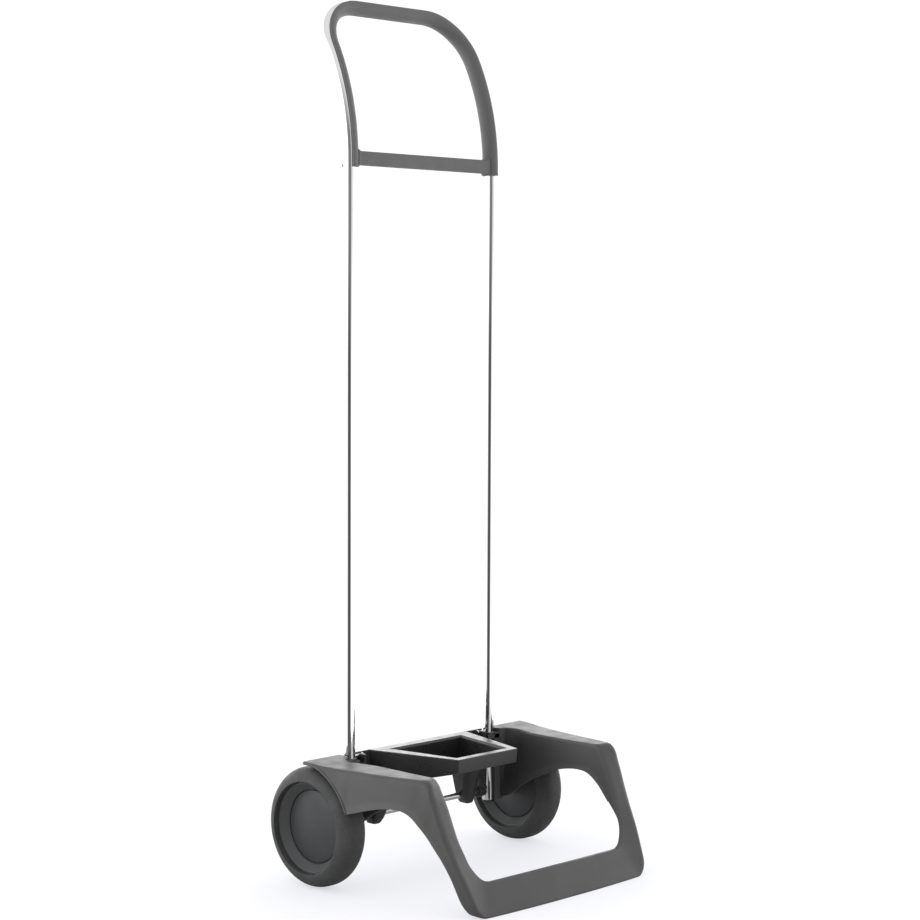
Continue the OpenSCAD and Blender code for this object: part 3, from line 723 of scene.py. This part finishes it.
def shelf_lug():
    """A tapered, round-fronted lug that hangs below the shelf and carries the axle.

    Each stage is its inner and outer side, its front, its height and its front corners' radius.
    """
    stages = [(54, 90, -30, 118, 9), (57, 88, -25, 104, 9), (61, 86.5, -19, 90, 8),
              (64.5, 85.5, -14, 77, 6.5), (68, 85, -10.5, 66, 5), (72, 84.5, -8.5, 60.5, 4),
              (74, 83.5, -7, 59, 3)]
    verts = []
    for x0, x1, front, z, corner in stages:
        outline = rounded([(x0, front, corner), (x1, front, corner), (x1, 5.8, 1), (x0, 5.8, 1)], 5)
        verts += [placed((x, y, z)) for x, y in outline]
    return verts, strip_faces(len(stages), len(outline)) + end_caps(len(verts), len(outline))


def axle_sleeve():
    """The grooved sleeve round the axle between the lug and the tube."""
    profile = [(84, 4.2), (84, 6.2), (93, 6.2), (94, 5.2), (96, 5.2), (97, 7.4),
               (107.5, 7.4), (108.4, 6.6), (108.4, 4.2)]
    steps = 40
    verts = []
    for i in range(steps):
        t = math.tau * i / steps
        verts += [placed((x, r * math.sin(t), AXLE_Z + r * math.cos(t))) for x, r in profile]
    return verts, strip_faces(steps, len(profile), closed_rows=True)


def shelf_wing():
    """The arm out to the tube: a front web, a rear ledge and the ear that hugs the axle."""
    def block(low, high):
        (x0, y0, z0), (x1, y1, z1) = low, high
        return prism([(x0, y0), (x1, y0), (x1, y1), (x0, y1)], z0, z1, lambda x, y, z: placed((x, y, z)))

    wing_end = TUBE_X - TUBE_R - 0.4
    ear_outline = [(98.0, AXLE_Z), (107.0, AXLE_Z), (107.0, 126.0), (98.0, 126.0)]
    ear = prism(ear_outline, -4.0, 5.8, lambda x, z, y: placed((x, y, z)))
    ledge = block((80, 3.2, 126), (wing_end, SHELF_BACK, SHELF_TOP))
    web = block((100.2, -11, 124), (102.8, SHELF_BACK, SHELF_TOP - 1))
    back = block((80, -9, 122), (wing_end, 5.8, 127))
    return joined(ear, ledge, web, back)


def make_shelf():
    verts, faces = shelf_tray()
    tray = piece("shelf_tray", verts, faces, SHELF, "frame", ["bag_shelf"])
    round_edges(tray, 1.1, 25, 4)
    lug = joined(shelf_lug(), axle_sleeve(), shelf_wing())
    verts, faces = joined(lug, mirrored(lug))
    lugs = piece("shelf_lugs", verts, faces, SHELF, "frame")
    round_edges(lugs, 1.6, 30, 4)


# Wheels ----------------------------------------------------------------------------------------

HALF_W = 20.0
WHEEL_R = 70.0
SHOULDER_R = 17.0
SEAT_RADIUS = 53.5
DISC_R = 42.4


def lathe(profile, side, steps=160):
    """A closed profile of (outward distance, radius) turned round the axle at one wheel."""
    verts = []
    for i in range(steps):
        t = math.tau * i / steps
        verts += [placed((side * (WHEEL_X + out), r * math.sin(t), AXLE_Z + r * math.cos(t)))
                  for out, r in profile]
    return verts, strip_faces(steps, len(profile), closed_rows=True)


def tyre_profile():
    """Round shoulders with a moulding ridge in the middle of the tread."""
    shoulder = HALF_W - SHOULDER_R
    core = WHEEL_R - SHOULDER_R
    arc = []
    for i in range(25):
        t = math.radians(4 + 84 * (1 - i / 24))
        arc.append((shoulder + SHOULDER_R * math.sin(t), core + SHOULDER_R * math.cos(t)))
    ridge = [(0.5, WHEEL_R - 0.04), (0.25, WHEEL_R), (-0.25, WHEEL_R), (-0.5, WHEEL_R - 0.04)]
    seat = [(13.4, SEAT_RADIUS), (17.6, 53.7), (18.9, 54.0), (19.4, 54.5)]
    outer = seat + arc
    inner = [(-t, r) for t, r in reversed(outer)]
    return outer + ridge + inner


def rim_profile():
    """The sloping band, the web and the hub, as (outward, radius, corner radius)."""
    face = [(13.4, 53.4, 0), (13.4, 51.2, 0.9), (4.9, 43.4, 1.0), (2.5, 43.2, 0)]
    outer = face + [(2.5, 10.0, 0), (1.7, 10.0, 0.3), (1.7, 6.1, 0)]
    inner = [(-17.0, 6.1, 0), (-17.0, 10.0, 0.8), (-2.5, 10.0, 0)]
    inner += [(-t, r, k) for t, r, k in reversed(face)]
    return rounded(outer + inner, 4)


def disc_profile(hole):
    """A crowned cover with a soft rim; hole is the radius of its centre hole."""
    crown, base, edge = 3.9, 4.6, 1.2
    points = [(base - 2.0, DISC_R)]
    points += [(base - edge + edge * math.sin(t), DISC_R - edge + edge * math.cos(t))
               for t in [math.pi / 2 * i / 6 for i in range(6)]]
    flat = DISC_R - edge
    for i in range(17):
        r = flat + (hole - flat) * i / 16
        points.append((base + crown * (1 - (r / flat) ** 2), max(r, 0.001)))
    points.append((base - 2.0, max(hole, 0.001)))
    return points


COVER_BORE = 10.2


def make_wheel(name, side):
    """The tyre, the rim and both covers of one wheel; side is -1 for left and 1 for right."""
    body = name + "_wheel"
    verts, faces = lathe(tyre_profile(), side)
    piece(name + "_tyre_rubber", verts, faces, TYRE, body, [name + "_tyre"])
    verts, faces = lathe(rim_profile(), side)
    rim = piece(name + "_rim_moulding", verts, faces, RIM, body, [name + "_rim"])
    round_edges(rim, 0.3, 50, 2)
    verts, faces = lathe(disc_profile(0.0), side)
    outer = piece(name + "_outer_cover", verts, faces, DISC, body, [name + "_outer_disc"])
    round_edges(outer, 0.3, 50, 2)
    inward = [(-t, r) for t, r in disc_profile(COVER_BORE)]
    verts, faces = lathe(inward, side)
    inner = piece(name + "_inner_cover", verts, faces, DISC, body, [name + "_inner_disc"])
    round_edges(inner, 0.3, 50, 2)


# CAD nodes that stay ---------------------------------------------------------------------------

def dress(node, material):
    """Gives a CAD node its material."""
    obj = frame["nodes"][node]
    obj.data.materials.clear()
    obj.data.materials.append(material)


# Studio ------------------------------------------------------------------------------------------

CAMERA_AT = Vector((-1.8497, -1.7996, 0.6656))
CAMERA_TURN = math.radians(-45.44)
CAMERA_DIP = math.radians(3.85)
CAMERA_ROLL = math.radians(0.24)
CAMERA_LENS = 86.27


def make_camera():
    """A long lens at the front left, a little above mid-height and turned down slightly."""
    data = bpy.data.cameras.new("studio_camera")
    data.lens = CAMERA_LENS
    data.sensor_width = 36.0
    data.clip_end = 100.0
    camera = bpy.data.objects.new("studio_camera", data)
    bpy.context.scene.collection.objects.link(camera)
    turn, dip, roll = CAMERA_TURN, CAMERA_DIP, CAMERA_ROLL
    ahead = Vector((-math.sin(turn) * math.cos(dip), math.cos(turn) * math.cos(dip), -math.sin(dip)))
    right = Vector((math.cos(turn), math.sin(turn), 0))
    up = right.cross(ahead)
    x_axis = right * math.cos(roll) + up * math.sin(roll)
    y_axis = up * math.cos(roll) - right * math.sin(roll)
    rotation = Matrix((x_axis, y_axis, -ahead)).transposed()
    camera.matrix_world = Matrix.Translation(CAMERA_AT) @ rotation.to_4x4()
    bpy.context.scene.camera = camera


# Brightness of the studio's walls by direction: 0.5 is the front, 0 and 1 the back. What is below
# the horizon shows in the upright tubes, what is above it on the level faces.
LOW_GLOW = [(0.0, 0.05), (0.016, 0.10), (0.026, 0.95), (0.125, 0.95), (0.14, 0.2), (0.155, 0.2),
            (0.17, 0.95), (0.25, 0.75), (0.37, 0.75), (0.42, 0.3), (0.45, 0.04), (0.55, 0.04),
            (0.58, 0.3), (0.63, 0.75), (0.75, 0.75), (0.83, 0.95), (0.845, 0.2), (0.86, 0.2),
            (0.875, 0.95), (0.974, 0.95), (0.984, 0.10), (1.0, 0.05)]
HIGH_GLOW = [(0.0, 1.55), (0.10, 1.55), (0.17, 1.1), (0.25, 1.0), (0.37, 1.25), (0.45, 0.15), (0.55, 0.08),
             (0.63, 0.42), (0.75, 0.60), (0.83, 0.95), (0.90, 1.55), (1.0, 1.55)]
TOP_GLOW = (0.42, 0.42, 0.425)
GLOW_STRENGTH = 2.0
BACKDROP_STRENGTH = 1.05


def glow_ramp(nodes, stops):
    """A grey ramp with the given (position, brightness) stops."""
    ramp = nodes.new("ShaderNodeValToRGB")
    elements = ramp.color_ramp.elements
    elements[0].position, elements[1].position = stops[0][0], stops[-1][0]
    for position, _ in stops[1:-1]:
        elements.new(position)
    for element, (_, level) in zip(elements, stops):
        element.color = (level, level, level, 1)
    return ramp


def make_world():
    """A white studio: bright behind, dim in front, and different below and above the horizon."""
    world = bpy.data.worlds.new("studio")
    bpy.context.scene.world = world
    world.use_nodes = True
    nodes, links = world.node_tree.nodes, world.node_tree.links
    nodes.clear()

    def share_of(value, start, end):
        node = nodes.new("ShaderNodeMapRange")
        node.inputs["From Min"].default_value = start
        node.inputs["From Max"].default_value = end
        links.new(value, node.inputs["Value"])
        return node.outputs["Result"]

    def blend(share, first):
        node = nodes.new("ShaderNodeMix")
        node.data_type = "RGBA"
        links.new(share, node.inputs["Factor"])
        links.new(first, node.inputs[6])
        return node

    def background(strength):
        node = nodes.new("ShaderNodeBackground")
        node.inputs["Strength"].default_value = strength
        return node

    turn = nodes.new("ShaderNodeVectorRotate")
    turn.rotation_type = "Z_AXIS"
    turn.inputs["Angle"].default_value = -math.atan2(CAMERA_AT.y, CAMERA_AT.x)
    links.new(nodes.new("ShaderNodeTexCoord").outputs["Generated"], turn.inputs["Vector"])
    split = nodes.new("ShaderNodeSeparateXYZ")
    links.new(turn.outputs["Vector"], split.inputs["Vector"])
    around = nodes.new("ShaderNodeMath")
    around.operation = "ARCTAN2"
    links.new(split.outputs["Y"], around.inputs[0])
    links.new(split.outputs["X"], around.inputs[1])
    direction = share_of(around.outputs[0], -math.pi, math.pi)
    low, high = glow_ramp(nodes, LOW_GLOW), glow_ramp(nodes, HIGH_GLOW)
    links.new(direction, low.inputs["Fac"])
    links.new(direction, high.inputs["Fac"])
    walls = blend(share_of(split.outputs["Z"], -0.02, 0.04), low.outputs["Color"])
    links.new(high.outputs["Color"], walls.inputs[7])
    overhead = blend(share_of(split.outputs["Z"], 0.25, 0.6), walls.outputs[2])
    overhead.inputs[7].default_value = (*TOP_GLOW, 1)
    glow, backdrop = background(GLOW_STRENGTH), background(BACKDROP_STRENGTH)
    links.new(overhead.outputs[2], glow.inputs["Color"])
    backdrop.inputs["Color"].default_value = (1, 1, 1, 1)
    either = nodes.new("ShaderNodeMixShader")
    links.new(nodes.new("ShaderNodeLightPath").outputs["Is Camera Ray"], either.inputs["Fac"])
    links.new(glow.outputs[0], either.inputs[1])
    links.new(backdrop.outputs[0], either.inputs[2])
    out = nodes.new("ShaderNodeOutputWorld")
    links.new(either.outputs[0], out.inputs["Surface"])


FLOOR_RADIUS = 0.75
# How brightly the floor glows on the part and in the camera's view
FLOOR_GLOW = (0.12, 0.74)


def make_floor():
    """A round light table: matt white with a faint fleck, brighter to the camera than to the part."""
    work = bmesh.new()
    bmesh.ops.create_circle(work, cap_ends=True, segments=96, radius=FLOOR_RADIUS)
    mesh = bpy.data.meshes.new("floor")
    work.to_mesh(mesh)
    work.free()
    floor = bpy.data.objects.new("floor", mesh)
    bpy.context.scene.collection.objects.link(floor)
    s = Shader("floor_white", specular=0.05)
    s.colour(s.mix(s.noise(3, 2), (0.44, 0.44, 0.43), (0.46, 0.46, 0.45)))
    s.roughness(s.spread(s.noise(8, 2), 0.85, 0.95))
    s.bsdf.inputs["Emission Color"].default_value = (0.80, 0.805, 0.85, 1)
    nodes, links = s.material.node_tree.nodes, s.material.node_tree.links
    lit = nodes.new("ShaderNodeMapRange")
    lit.inputs["To Min"].default_value, lit.inputs["To Max"].default_value = FLOOR_GLOW
    links.new(nodes.new("ShaderNodeLightPath").outputs["Is Camera Ray"], lit.inputs["Value"])
    links.new(lit.outputs["Result"], s.bsdf.inputs["Emission Strength"])
    mesh.materials.append(s.material)


# Making everything -----------------------------------------------------------------------------

make_camera()
make_world()
make_floor()
make_tube()
make_grip()
make_chassis()
make_shelf()
make_wheel("left", -1)
make_wheel("right", 1)
for node_name in ("axle", "shelf_screws", "thrust_washers", "push_nuts"):
    dress(node_name, STEEL)
for node_name in ("wheel_spacers", "tube_end_plugs"):
    dress(node_name, BLACK)
for node_name in ("left_outer_bush", "left_inner_bush", "right_outer_bush", "right_inner_bush"):
    dress(node_name, NYLON)

bpy.context.scene.view_settings.view_transform = "Standard"
